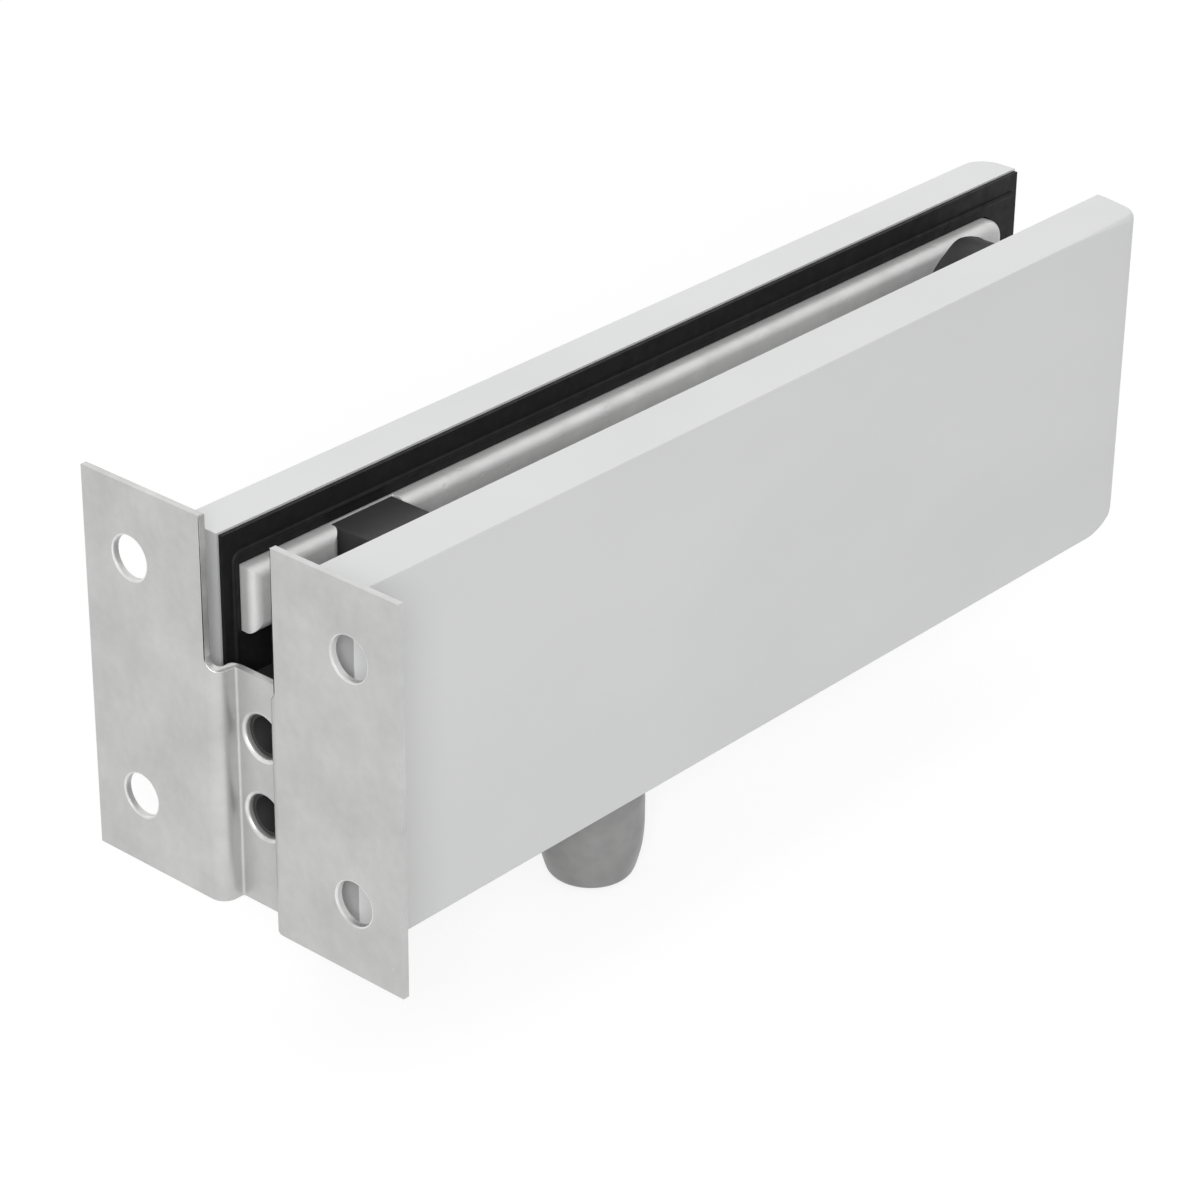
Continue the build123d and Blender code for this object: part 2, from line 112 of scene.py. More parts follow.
class Graph:
    """The nodes of a material or world, with short ways to add and join them."""

    def __init__(self, owner: bpy.types.Material | bpy.types.World) -> None:
        """Switch on the owner's nodes."""
        owner.use_nodes = True
        self.tree = owner.node_tree

    def feed(self, socket: Socket, value: object) -> None:
        """Give an input socket its value, or join another node's output to it.

        Args:
            socket: the input socket.
            value: the value or the output.
        """
        if isinstance(value, Socket):
            self.tree.links.new(value, socket)
        else:
            socket.default_value = value

    def fill(self, node: bpy.types.Node, **sockets: object) -> None:
        """Feed a node's input sockets, which are named with _ for a space."""
        for name, value in sockets.items():
            self.feed(node.inputs[name.replace("_", " ")], value)

    def add(self, kind: str, **sockets: object) -> bpy.types.Node:
        """Add a node and feed its input sockets.

        Args:
            kind: the node's type name without the ShaderNode prefix.
            sockets: values and outputs by socket name, with _ for a space.

        Returns:
            The new node.
        """
        node = self.tree.nodes.new("ShaderNode" + kind)
        self.fill(node, **sockets)
        return node

    def place(self, size: Sequence[float]) -> Socket:
        """Object coordinates in units of a pattern's size, given in millimetres."""
        here = self.add("TexCoord").outputs["Object"]
        return self.add("Mapping", Vector=here, Scale=[1 / (s * MM) for s in size]).outputs["Vector"]

    def noise(self, size: Sequence[float], detail: float = 3, rough: float = 0.5) -> Socket:
        """A noise pattern from 0 to 1, with cells of that size in millimetres."""
        look = {"Scale": 1.0, "Detail": detail, "Roughness": rough}
        return self.add("TexNoise", Vector=self.place(size), **look).outputs["Fac"]

    def spots(self, spacing: float, core: float, rim: float) -> Socket:
        """Scattered round spots, 1 in their core and 0 beyond their rim, as shares of the spacing."""
        cells = self.add("TexVoronoi", Vector=self.place((spacing,) * 3), Scale=1.0, Randomness=1.0)
        return self.remap(cells.outputs["Distance"], (core, rim), (1, 0))

    def remap(self, value: Socket, span: Span, out: Span) -> Socket:
        """Stretch a value from one range to another, clamped at its ends."""
        ends = {"From_Min": span[0], "From_Max": span[1], "To_Min": out[0], "To_Max": out[1]}
        return self.add("MapRange", Value=value, **ends).outputs["Result"]

    def blend(self, amount: Socket, low: Shade, high: Shade) -> Socket:
        """A colour between two others.

        Args:
            amount: 0 for the first, 1 for the second.
            low: the first, a colour or a pattern of colour.
            high: the second, likewise.

        Returns:
            The colour.
        """
        node = self.add("Mix")
        node.data_type = "RGBA"
        self.feed(node.inputs[0], amount)
        for socket, colour in ((node.inputs[6], low), (node.inputs[7], high)):
            self.feed(socket, (*colour, 1) if isinstance(colour, tuple) else colour)
        return node.outputs[2]

    def reckon(self, operation: str, *terms: float | Socket) -> Socket:
        """What a Math node makes of its terms.

        Args:
            operation: the node's operation.
            terms: numbers and patterns, in the order of its sockets.

        Returns:
            The result.
        """
        node = self.add("Math")
        node.operation = operation
        for socket, term in zip(node.inputs, terms):
            self.feed(socket, term)
        return node.outputs[0]

    def sum(self, first: Socket, second: Socket, share: float) -> Socket:
        """The first pattern plus a share of the second."""
        return self.reckon("MULTIPLY_ADD", second, share, first)

    def relief(self, height: Socket, depth: float) -> Socket:
        """The normal of a surface raised by a pattern of that depth in millimetres."""
        return self.add("Bump", Height=height, Strength=1.0, Distance=depth * MM).outputs["Normal"]

    def seen(self, low: float, high: float) -> Socket:
        """A level that depends on the ray.

        Args:
            low: the level for rays that light the object.
            high: the level for camera, glossy and transmission rays, which show the surround.

        Returns:
            The level.
        """
        path = self.add("LightPath").outputs
        shows = self.reckon("MAXIMUM", path["Is Camera Ray"], path["Is Glossy Ray"])
        shows = self.reckon("MAXIMUM", shows, path["Is Transmission Ray"])
        return self.remap(shows, FULL, (low, high))


@dataclass(frozen=True)
class Finish:
    """A surface with soft patches of tone, a gloss that varies a little and a fine relief.

    Attributes:
        name: the material's name.
        slot: the record's material slot that it stands for; not used.
        dark: linear colour of the darkest patches.
        light: that of the lightest.
        patch: size of the patches along x, y and z, in millimetres.
        metallic: 1 for bare metal, 0 for rubber and plastic.
        rough: middle roughness.
        spread: how far the roughness goes up and down from it.
        grain: size of the fine relief along x, y and z, in millimetres.
        depth: its depth, in millimetres.
        worn_and_highlight: linear colour of the marked edges, which handling leaves, and on the bracket's
            sheet also a painted highlight.
        specular: level of the plain reflection.
        streak: length of the marked stretches along an edge, in millimetres.
        streak_span: values of their pattern from unmarked to marked.
        streak_share: how far the edge colour shows there.
        polish: how much of the roughness rubbing takes.
    """

    name: str
    slot: str
    dark: Colour
    light: Colour
    patch: Sequence[float]
    metallic: float
    rough: float
    spread: float
    grain: Sequence[float]
    depth: float
    worn_and_highlight: Colour
    specular: float = 0.5
    streak: float = 5
    streak_span: Span = (0.35, 0.6)
    streak_share: Span = (0.15, 0.8)
    polish: float = 0.3

    def material(self) -> bpy.types.Material:
        """Build the material.

        Returns:
            The new material.
        """
        material = bpy.data.materials.new(self.name)
        graph = Graph(material)
        # the edge colour blended in here is wear, and on the bracket's sheet also a painted highlight
        tone, wear_and_highlight = self.tone(graph), self.wear_and_highlight(graph)
        skin = graph.blend(tone, self.dark, self.light)
        gloss = graph.remap(tone, FULL, (self.rough + self.spread, self.rough - self.spread))
        graph.fill(
            graph.tree.nodes["Principled BSDF"],
            Base_Color=graph.blend(wear_and_highlight, skin, self.worn_and_highlight),
            Metallic=self.metallic,
            Roughness=graph.sum(gloss, wear_and_highlight, -self.polish * self.rough),
            Specular_IOR_Level=self.specular,
            Normal=graph.relief(self.height(graph), self.depth),
        )
        return material

    def tone(self, graph: Graph) -> Socket:
        """The pattern of light and dark patches, from 0 to 1."""
        return graph.remap(graph.noise(self.patch), MOST, FULL)

    def height(self, graph: Graph) -> Socket:
        """The pattern of the fine relief, from 0 to 1."""
        return graph.noise(self.grain, detail=4, rough=0.6)

    def wear_and_highlight(self, graph: Graph) -> Socket:
        """Where edges are rubbed, and on the bracket's sheet lightened as a painted highlight, in broken
        stretches.

        Args:
            graph: the material's nodes.

        Returns:
            The pattern, 0 where no edge is marked.
        """
        edge = graph.add("Attribute")
        edge.attribute_name = WEAR_AND_HIGHLIGHT
        rubbed_and_highlit = graph.remap(graph.noise((self.streak,) * 3, detail=4), self.streak_span, self.streak_share)
        return graph.reckon("MULTIPLY", edge.outputs["Fac"], rubbed_and_highlit)


@dataclass(frozen=True)
class PlatedSheet(Finish):
    """Zinc plated sheet: cloudy patches over fine blotches, with a few pale flecks.

    Attributes:
        cloud_share: the clouds' share of the tone.
        blotch: size of the fine blotches, in millimetres.
        blotch_span: values of their pattern from dark to light.
        blotch_share: their share of the tone.
        fleck: spacing of the flecks, in millimetres.
        fleck_size: radius of a fleck's core and rim, as shares of the spacing.
        fleck_share: how much tone a fleck adds.
    """

    cloud_share: float = 0.8
    blotch: float = 1.4
    blotch_span: Span = (0.35, 0.65)
    blotch_share: float = 0.2
    fleck: float = 6.0
    fleck_size: Span = (0.015, 0.05)
    fleck_share: float = 0.5

    def tone(self, graph: Graph) -> Socket:
        """Clouds and blotches, with a pale fleck here and there.

        Args:
            graph: the material's nodes.

        Returns:
            The pattern.
        """
        clouds = graph.remap(graph.noise(self.patch, detail=4, rough=0.55), MOST, (0, self.cloud_share))
        blotches = graph.remap(graph.noise((self.blotch,) * 3), self.blotch_span, (0, self.blotch_share))
        flecks = graph.spots(self.fleck, *self.fleck_size)
        return graph.sum(graph.sum(clouds, blotches, 1.0), flecks, self.fleck_share)


@dataclass(frozen=True)
class CastSkin(Finish):
    """Bead blasted casting: a sandy grain with a few pits.

    Attributes:
        pit: spacing of the pits, in millimetres.
        pit_size: radius of a pit's floor and rim, as shares of the spacing.
        pit_depth: depth of a pit, as a share of the grain's.
    """

    pit: float = 2.6
    pit_size: Span = (0.04, 0.16)
    pit_depth: float = 1.2

    def height(self, graph: Graph) -> Socket:
        """Sandy grain, less the pits."""
        pits = graph.spots(self.pit, *self.pit_size)
        return graph.sum(graph.noise(self.grain, detail=5, rough=0.7), pits, -self.pit_depth)


@dataclass(frozen=True)
class TurnedSkin(Finish):
    """Turned and tumbled steel: faint rings stacked along an upright axis.

    Attributes:
        feed: spacing of the rings, in millimetres.
        round_about: length over which a ring keeps its height, in millimetres.
        tumbled: share of the grain that tumbling lays over the rings.
    """

    feed: float = 0.25
    round_about: float = 500
    tumbled: float = 0.8

    def height(self, graph: Graph) -> Socket:
        """Rings, softened by tumbling."""
        rings = graph.noise((self.round_about, self.round_about, self.feed), detail=2)
        return graph.sum(rings, graph.noise(self.grain, detail=4), self.tumbled)


@dataclass(frozen=True)
class Palette:
    """The finishes of the fitting."""

    cover: Finish = Finish(
        "satin_steel", "cover_metal", dark=(0.652, 0.654, 0.656), light=(0.680, 0.682, 0.684),
        patch=(46, 30, 24), metallic=0.3, rough=0.34, spread=0.02,
        grain=(9.0, 0.25, 0.25), depth=0.0012, worn_and_highlight=(0.80, 0.80, 0.80),
    )
    # the sheet's edge colour 0.88 is brighter than plated steel: on the hole rims and the notch edge it is a
    # painted highlight as well as wear
    sheet: Finish = PlatedSheet(
        "plated_sheet", "bracket_sheet", dark=(0.490, 0.490, 0.486), light=(0.590, 0.590, 0.586),
        patch=(9, 9, 9), metallic=0.65, rough=0.40, spread=0.04,
        grain=(0.8, 0.8, 0.8), depth=0.003, worn_and_highlight=(0.88, 0.88, 0.87),
    )
    cast: Finish = CastSkin(
        "blasted_casting", "casting", dark=(0.70, 0.70, 0.695), light=(0.82, 0.82, 0.815),
        patch=(5, 5, 5), metallic=0.3, rough=0.46, spread=0.04,
        grain=(0.25, 0.25, 0.25), depth=0.05, worn_and_highlight=(0.70, 0.70, 0.69),
    )
    rubber: Finish = Finish(
        "black_rubber", "gasket_rubber", dark=(0.0055, 0.0055, 0.0058), light=(0.0105, 0.0105, 0.0108),
        patch=(1.6, 1.6, 1.6), metallic=0.0, rough=0.60, spread=0.05,
        grain=(0.22, 0.22, 0.22), depth=0.010, worn_and_highlight=(0.03, 0.03, 0.03), specular=0.22,
    )
    plastic: Finish = Finish(
        "black_moulding", "black_plastic", dark=(0.040, 0.040, 0.041), light=(0.050, 0.050, 0.051),
        patch=(3, 3, 3), metallic=0.0, rough=0.50, spread=0.05,
        grain=(0.16, 0.16, 0.16), depth=0.008, worn_and_highlight=(0.05, 0.05, 0.05), specular=0.3,
    )
    core: Finish = Finish(
        "blackened_steel", "core_black", dark=(0.036, 0.036, 0.036), light=(0.048, 0.048, 0.049),
        patch=(4, 4, 4), metallic=0.0, rough=0.55, spread=0.06,
        grain=(0.25, 0.25, 0.25), depth=0.010, worn_and_highlight=(0.03, 0.03, 0.03), specular=0.25,
    )
    pin: Finish = TurnedSkin(
        "turned_steel", "pin_steel", dark=(0.255, 0.255, 0.253), light=(0.305, 0.305, 0.303),
        patch=(3, 3, 3), metallic=0.1, rough=0.36, spread=0.05,
        grain=(0.35, 0.35, 0.35), depth=0.0025, worn_and_highlight=(0.6, 0.6, 0.6),
    )
    screw: Finish = Finish(
        "plated_screw", "screw_steel", dark=(0.46, 0.46, 0.45), light=(0.58, 0.58, 0.56),
        patch=(1.5, 1.5, 1.5), metallic=0.9, rough=0.34, spread=0.05,
        grain=(0.15, 0.15, 0.15), depth=0.004, worn_and_highlight=(0.7, 0.7, 0.68),
    )
    spring: Finish = Finish(
        "tempered_strip", "spring_steel", dark=(0.30, 0.30, 0.31), light=(0.40, 0.40, 0.41),
        patch=(6, 1, 1), metallic=1.0, rough=0.32, spread=0.04,
        grain=(2.0, 0.08, 0.08), depth=0.002, worn_and_highlight=(0.5, 0.5, 0.5),
    )


# Modelling, as by hand


def deselect_everything() -> None:
    """Go to object mode with nothing selected."""
    if bpy.context.object and bpy.context.object.mode != "OBJECT":
        bpy.ops.object.mode_set(mode="OBJECT")
    bpy.ops.object.select_all(action="DESELECT")


def focus(piece: Solid) -> None:
    """Make a piece the only selected and active object.

    Args:
        piece: the object.
    """
    deselect_everything()
    piece.select_set(True)
    bpy.context.view_layer.objects.active = piece


def settle(piece: Solid) -> None:
    """Put a piece's place and size into its mesh, so that its object sits at the origin."""
    focus(piece)
    bpy.ops.object.transform_apply(location=True, rotation=True, scale=True)


def edit(piece: Solid, kind: str = "FACE") -> bmesh.types.BMesh:
    """Enter edit mode with nothing selected.

    Args:
        piece: the object to edit.
        kind: select mode, "FACE", "EDGE" or "VERT".

    Returns:
        The mesh under edit.
    """
    focus(piece)
    bpy.ops.object.mode_set(mode="EDIT")
    bpy.ops.mesh.select_mode(type=kind)
    bpy.ops.mesh.select_all(action="DESELECT")
    return bmesh.from_edit_mesh(piece.data)


def leave_edit() -> None:
    """Go back to object mode."""
    bpy.ops.object.mode_set(mode="OBJECT")


def where(**at: float) -> EdgeTest:
    """A test for edges whose two ends have these coordinates, and for all edges if none is given.

    Args:
        at: coordinates in metres by axis, x, y or z.

    Returns:
        The test.
    """
    return lambda a, b: all(
        sum(abs(getattr(end, axis) - value) for axis, value in at.items()) < TINY for end in (a, b)
    )


def circle(centre: Vector, radius: float, **at: float) -> EdgeTest:
    """A test for the edges of a circle in a plane.

    Args:
        centre: its centre.
        radius: its radius, in metres.
        at: the plane's coordinate by axis.

    Returns:
        The test.
    """
    in_plane = where(**at)
    return lambda a, b: in_plane(a, b) and all(
        abs((end - centre).length - radius) < TINY for end in (a, b)
    )


def select_faces(piece: Solid, test: FaceTest) -> None:
    """Edit the piece with some of its faces selected.

    Args:
        piece: the object.
        test: which faces, by centre and normal.
    """
    mesh = edit(piece, "FACE")
    for face in mesh.faces:
        face.select_set(test(face.calc_center_median(), face.normal))
    bmesh.update_edit_mesh(piece.data)


def select_edges(piece: Solid, test: EdgeTest, over: float = ANY) -> None:
    """Edit the piece with some of its edges selected.

    Args:
        piece: the object.
        test: which edges, by their two ends.
        over: the angle that the edge's faces have to exceed.
    """
    mesh = edit(piece, "EDGE")
    for edge in mesh.edges:
        angle = edge.calc_face_angle(0.0) if len(edge.link_faces) == 2 else 0.0
        edge.select_set(angle > over and test(edge.verts[0].co, edge.verts[1].co))
    bmesh.update_edit_mesh(piece.data)


def soften(
    piece: Solid, test: EdgeTest, radius: float, segments: int, over: float = ANY, worn_and_highlight: bool = False
) -> None:
    """Round the edges that pass the test.

    Args:
        piece: the object.
        test: which edges to round.
        radius: width of the rounding, in millimetres.
        segments: steps of the rounding.
        over: the angle that the edge's faces have to exceed.
        worn_and_highlight: whether the new faces get the finish's edge colour, which is wear and, on the
            bracket's sheet, also a painted highlight.
    """
    select_edges(piece, test, over)
    bpy.ops.mesh.bevel(offset=radius * MM, segments=segments, affect="EDGES", clamp_overlap=False)
    if worn_and_highlight:
        mark_wear_and_highlight(piece)
    leave_edit()


def mark_wear_and_highlight(piece: Solid) -> None:
    """Mark the selected faces of the mesh under edit for the edge colour: wear, and on the bracket's sheet
    also a painted highlight.

    Args:
        piece: the object under edit.
    """
    mesh = bmesh.from_edit_mesh(piece.data)
    layer = mesh.faces.layers.float.get(WEAR_AND_HIGHLIGHT) or mesh.faces.layers.float.new(WEAR_AND_HIGHLIGHT)
    for face in mesh.faces:
        if face.select:
            face[layer] = 1.0
    bmesh.update_edit_mesh(piece.data)


def modify(piece: Solid, kind: str, **settings: object) -> None:
    """Add a modifier and apply it.

    Args:
        piece: the object.
        kind: the modifier's type.
        settings: its settings by name.
    """
    focus(piece)
    modifier = piece.modifiers.new(kind.title(), kind)
    for name, value in settings.items():
        setattr(modifier, name, value)
    bpy.ops.object.modifier_apply(modifier=modifier.name)


def block(name: str, low: Sequence[float], high: Sequence[float]) -> Solid:
    """A box between two corners, as a starting body.

    Args:
        name: the object's name.
        low: lowest corner.
        high: highest corner.

    Returns:
        The new object, at the origin.
    """
    deselect_everything()
    low, high = Vector(low), Vector(high)
    bpy.ops.mesh.primitive_cube_add(size=1, location=(low + high) / 2)
    piece = bpy.context.object
    piece.name = name
    piece.scale = high - low
    settle(piece)
    return piece


def rod(name: str, radius: float, start: Vector, end: Vector, sides: int = 64) -> Solid:
    """A cylinder between two points along an axis, as a cutter.

    Args:
        name: the object's name.
        radius: radius of its corners, in metres.
        start: middle of one end.
        end: middle of the other.
        sides: number of sides.

    Returns:
        The new object, at the origin.
    """
    deselect_everything()
    along = end - start
    bpy.ops.mesh.primitive_cylinder_add(
        vertices=sides, radius=radius, depth=along.length, location=(start + end) / 2,
        rotation=along.to_track_quat("Z", "Y").to_euler(),
    )
    piece = bpy.context.object
    piece.name = name
    settle(piece)
    return piece


def turn(name: str, rings: Sequence[Ring], closed: bool = False, sides: int = 96) -> Solid:
    """Raise a turned body ring by ring from a circle.

    Args:
        name: the object's name.
        rings: radius and height of each ring, in millimetres, from the lowest up.
        closed: whether the last ring comes back to the first, round a bore.
        sides: number of sides.

    Returns:
        The new object, upright on the origin.
    """
    deselect_everything()
    radius, height = rings[0]
    bpy.ops.mesh.primitive_circle_add(vertices=sides, radius=radius * MM, location=(0, 0, height * MM))
    piece = bpy.context.object
    piece.name = name
    settle(piece)
    edit(piece, "EDGE")
    bpy.ops.mesh.select_all(action="SELECT")
    if not closed:
        bpy.ops.mesh.edge_face_add()
        bpy.ops.mesh.select_mode(type="EDGE")
    for wider, higher in rings[1:]:
        bpy.ops.mesh.extrude_edges_move(TRANSFORM_OT_translate={"value": (0, 0, (higher - height) * MM)})
        scale = wider / radius
        bpy.ops.transform.resize(value=(scale, scale, 1), center_override=(0, 0, higher * MM))
        radius, height = wider, higher
    if not closed:
        bpy.ops.mesh.edge_face_add()
    leave_edit()
    return piece


def lay(piece: Solid, at: Vector, along: Vector) -> None:
    """Move a body from upright on the origin to its place.

    Args:
        piece: the object.
        at: where its foot goes.
        along: the direction that its upper end looks in.
    """
    piece.rotation_mode = "QUATERNION"
    piece.rotation_quaternion = along.to_track_quat("Z", "Y")
    piece.location = at
    settle(piece)


def twin(piece: Solid, name: str) -> Solid:
    """A copy of a piece with its own mesh.

    Args:
        piece: the object.
        name: the copy's name.

    Returns:
        The copy.
    """
    copy = piece.copy()
    copy.data = piece.data.copy()
    copy.name = name
    bpy.context.scene.collection.objects.link(copy)
    return copy


def combine(piece: Solid, tool: Solid, how: str) -> None:
    """Cut or intersect a piece with a tool body, which is then removed."""
    modify(piece, "BOOLEAN", operation=how, solver="EXACT", object=tool)
    bpy.data.objects.remove(tool, do_unlink=True)


def tidy(piece: Solid, angle: float = 30) -> None:
    """Merge doubles, point the faces outwards and shade smoothly.

    Args:
        piece: the object.
        angle: the largest angle between faces that is still shaded smoothly, in degrees.
    """
    edit(piece)
    bpy.ops.mesh.select_all(action="SELECT")
    bpy.ops.mesh.remove_doubles(threshold=0.002 * MM)
    bpy.ops.mesh.normals_make_consistent(inside=False)
    if bmesh.from_edit_mesh(piece.data).calc_volume(signed=True) < 0:
        bpy.ops.mesh.flip_normals()
    leave_edit()
    bpy.ops.object.shade_smooth_by_angle(angle=math.radians(angle))
    modify(piece, "WEIGHTED_NORMAL", keep_sharp=True)


def bow(start: Ring, end: Ring, steps: int = 14) -> list[Ring]:
    """Radius and height along an arc that leaves the first point upright.

    Args:
        start: radius and height where the arc is upright.
        end: radius and height where it ends.
        steps: number of chords.

    Returns:
        The points from start to end.
    """
    inwards, rise = start[0] - end[0], end[1] - start[1]
    bend = (inwards**2 + rise**2) / (2 * inwards)
    sweep = math.asin(abs(rise) / bend)
    return [
        (start[0] - bend * (1 - math.cos(sweep * i / steps)),
         start[1] + math.copysign(bend, rise) * math.sin(sweep * i / steps))
        for i in range(steps + 1)
    ]


def dress(piece: Solid, finish: Finish) -> None:
    """Give a piece its finish, made once and shared.

    Args:
        piece: a new piece or a CAD node.
        finish: the finish.
    """
    piece.data.materials.clear()
    piece.data.materials.append(bpy.data.materials.get(finish.name) or finish.material())


# Sub-assemblies


@dataclass
class Piece:
    """A new piece that stands for one CAD node, or with its copies for several.

    Attributes:
        node: the node.
        finish: its finish.
    """

    node: str
    finish: Finish

    def build(self) -> Solid:
        """Model the piece in the node's place."""
        raise NotImplementedError

    def stands_for(self) -> tuple[str, ...]:
        """Every node that the piece and its copies stand for."""
        return (self.node,)

    def hand_over(self, piece: Solid, node: str) -> None:
        """Dress a piece and let it ride on the body in place of the node.

        Args:
            piece: the finished mesh.
            node: the node that it stands for.
        """
        dress(piece, self.finish)
        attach(piece, BODY)
        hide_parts(node)
        LOG.info("%s: %d faces, stands for %s", piece.name, len(piece.data.polygons), node)

    def make(self) -> None:
        """Build the piece once, copy it to its further nodes, then hand over each."""
        piece = self.build()
        low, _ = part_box(self.node)
        for node in self.stands_for()[1:]:
            copy = twin(piece, node + "_copy")
            copy.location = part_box(node)[0] - low
            settle(copy)
            self.hand_over(copy, node)
        self.hand_over(piece, self.node)


@dataclass
class Cover(Piece):
    """One pressed cap of the pair that hides the bodies.

    Attributes:
        side: which side of the slot it is on.
        wall: sheet thickness.
        end_radius: upright corner of the free end, seen from above.
        foot_radius: lower corner of the free end, seen from the front.
        edge: radius of the outer edges.
        crown: radius of the top edge round the upright corner, 0 if no more than the edge.
    """

    side: Side
    wall: float = 1.2
    end_radius: float = 3.8
    foot_radius: float = 8.5
    edge: float = 0.12
    crown: float = 1.2

    def build(self) -> Solid:
        """Shape the cap from a box: rounded corners, hollowed, edges eased.

        Returns:
            The finished cap.
        """
        low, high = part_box(self.node)
        outer, rim = (high.y, low.y) if self.side is Side.REAR else (low.y, high.y)
        cap = block(self.node + "_pressing", low, high)
        soften(cap, where(x=high.x, y=outer), self.end_radius, segments=16)
        beyond = Vector((0, 2, 0)) * MM
        form = block("foot_form", low - beyond, high + beyond)
        soften(form, where(x=high.x, z=low.z), self.foot_radius, segments=20)
        combine(cap, form, "INTERSECT")
        select_faces(cap, lambda centre, n: abs(centre.y - rim) < TINY and abs(n.y) > FACING)
        bpy.ops.mesh.delete(type="FACE")
        leave_edit()
        modify(cap, "SOLIDIFY", thickness=self.wall * MM, offset=-1, use_even_offset=True)
        if self.crown:
            radius = self.end_radius * MM
            centre = Vector((high.x - radius, outer + math.copysign(radius, rim - outer), high.z))
            soften(cap, circle(centre, radius, z=high.z), self.crown, segments=5, over=BEVELLED)
        on_rim, skin = where(y=rim), (where(y=outer), where(z=high.z), where(x=low.x))
        soften(cap, lambda a, b: not on_rim(a, b) and any(on_face(a, b) for on_face in skin),
               self.edge, segments=3, over=BEVELLED)
        tidy(cap)
        return cap


@dataclass
class WallBracket(Piece):
    """The folded sheet: two wings, a channel between them, a notch and six holes.

    Attributes:
        sheet: thickness.
        channel: clear width of the channel between the wings' inner bends.
        wing_bend: radius of the bends beside the wings.
        web_bend: radius of the bends beside the web.
        edge: radius of the sheared edges.
        notch_width: width of the cut-out above the web.
        notch_floor: height of its floor.
        notch_corner: radius of its lower corners.
        hole: diameter of the wings' four holes.
        burr: width of their rounded turn on the wall face, which the edge colour lightens as wear and a
            painted highlight.
        across: their spacing across.
        up: their spacing in height.
        web_hole: diameter of the web's two holes.
        web_holes: their heights.
        rim: width of their pressed rim.
    """

    sheet: float = 1.0
    channel: float = 8.4
    wing_bend: float = 2.2
    web_bend: float = 0.4
    edge: float = 0.09
    notch_width: float = 12.2
    notch_floor: float = 5.85
    notch_corner: float = 2.0
    hole: float = 6.0
    burr: float = 0.25
    across: float = 38.0
    up: float = 34.0
    web_hole: float = 6.0
    web_holes: tuple[float, float] = (-2.6, -14.0)
    rim: float = 0.5

    def build(self) -> Solid:
        """Fold the sheet from a flat strip, then notch and punch it.

        Returns:
            The finished bracket.
        """
        low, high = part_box(self.node)
        sheet = self._fold(low, high)
        self._notch(sheet, high)
        for y in (-self.across / 2, self.across / 2):
            for z in (-self.up / 2, self.up / 2):
                self._punch(sheet, Vector((0, y, z)) * MM, self.hole, self.burr, 2)
        for z in self.web_holes:
            self._punch(sheet, Vector((high.x - self.sheet * MM, 0, z * MM)), self.web_hole, self.rim, 5)
        soften(sheet, where(), self.edge, segments=2, over=SHEARED)
        tidy(sheet, angle=35)
        return sheet

    def _fold(self, low: Vector, high: Vector) -> Solid:
        """Fold a flat strip step by step into wings, legs and web.

        Args:
            low: lowest corner of the bracket.
            high: highest corner.

        Returns:
            The folded sheet with its thickness.
        """
        half, inner = high.y, self.channel / 2 * MM
        web = high.x - self.sheet * MM
        deselect_everything()
        bpy.ops.mesh.primitive_plane_add(size=1, rotation=(0, -math.pi / 2, 0))
        strip = bpy.context.object
        strip.name = "folded_bracket"
        strip.scale = (high.z - low.z, half - inner, 1)
        strip.location = (0, (half + inner) / 2, (high.z + low.z) / 2)
        settle(strip)
        corner = Vector((0, inner, 0))
        for bend in ((web, inner, 0), (web, -inner, 0), (0, -inner, 0), (0, -half, 0)):
            step = Vector(bend) - corner
            select_edges(strip, where(x=corner.x, y=corner.y))
            bpy.ops.mesh.extrude_edges_move(TRANSFORM_OT_translate={"value": step})
            leave_edit()
            corner = Vector(bend)
        for x, radius in ((0.0, self.wing_bend), (web, self.web_bend)):
            soften(strip, where(x=x), radius, segments=12, over=SQUARE)
        edit(strip)
        bpy.ops.mesh.select_all(action="SELECT")
        bpy.ops.mesh.normals_make_consistent(inside=False)
        leave_edit()
        if strip.data.polygons[0].normal.x > 0:
            strip.data.flip_normals()
        modify(strip, "SOLIDIFY", thickness=self.sheet * MM, offset=-1, use_even_offset=True)
        return strip

    def _notch(self, sheet: Solid, high: Vector) -> None:
        """Cut the notch out of the channel's upper end and lighten its cut edge with the edge colour, as
        wear and a painted highlight.

        Args:
            sheet: the folded sheet.
            high: its highest corner.
        """
        half, floor, beyond = self.notch_width / 2 * MM, self.notch_floor * MM, 2 * MM
        cutter = block("notch_cutter", (-beyond, -half, floor), (high.x + beyond, half, high.z + 2 * beyond))
        feet = where(y=half, z=floor), where(y=-half, z=floor)
        soften(cutter, lambda a, b: any(foot(a, b) for foot in feet), self.notch_corner, segments=8)
        combine(sheet, cutter, "DIFFERENCE")
        select_faces(
            sheet, lambda centre, n: centre.z > floor - TINY and abs(centre.y) < half + TINY
            and abs(n.x) < ACROSS and (abs(centre.y) > half - TINY or n.z > ACROSS),
        )
        # the notch's cut faces get the pale edge colour: wear and a painted highlight
        mark_wear_and_highlight(sheet)
        leave_edit()

    def _punch(self, sheet: Solid, at: Vector, diameter: float, rim: float, segments: int) -> None:
        """Punch a round hole through the sheet along x, with a rounded rim that the edge colour lightens as
        wear and a painted highlight.

        Args:
            sheet: the folded sheet.
            at: the hole's middle, in the face that gets the rim.
            diameter: its diameter.
            rim: width of the rim.
            segments: steps of the rim's rounding.
        """
        reach, radius = Vector((3 * MM, 0, 0)), diameter / 2 * MM
        combine(sheet, rod("punch", radius, at - reach, at + reach), "DIFFERENCE")
        # the rim gets the pale edge colour: wear and a painted highlight
        soften(sheet, circle(at, radius, x=at.x), rim, segments, over=SQUARE, worn_and_highlight=True)


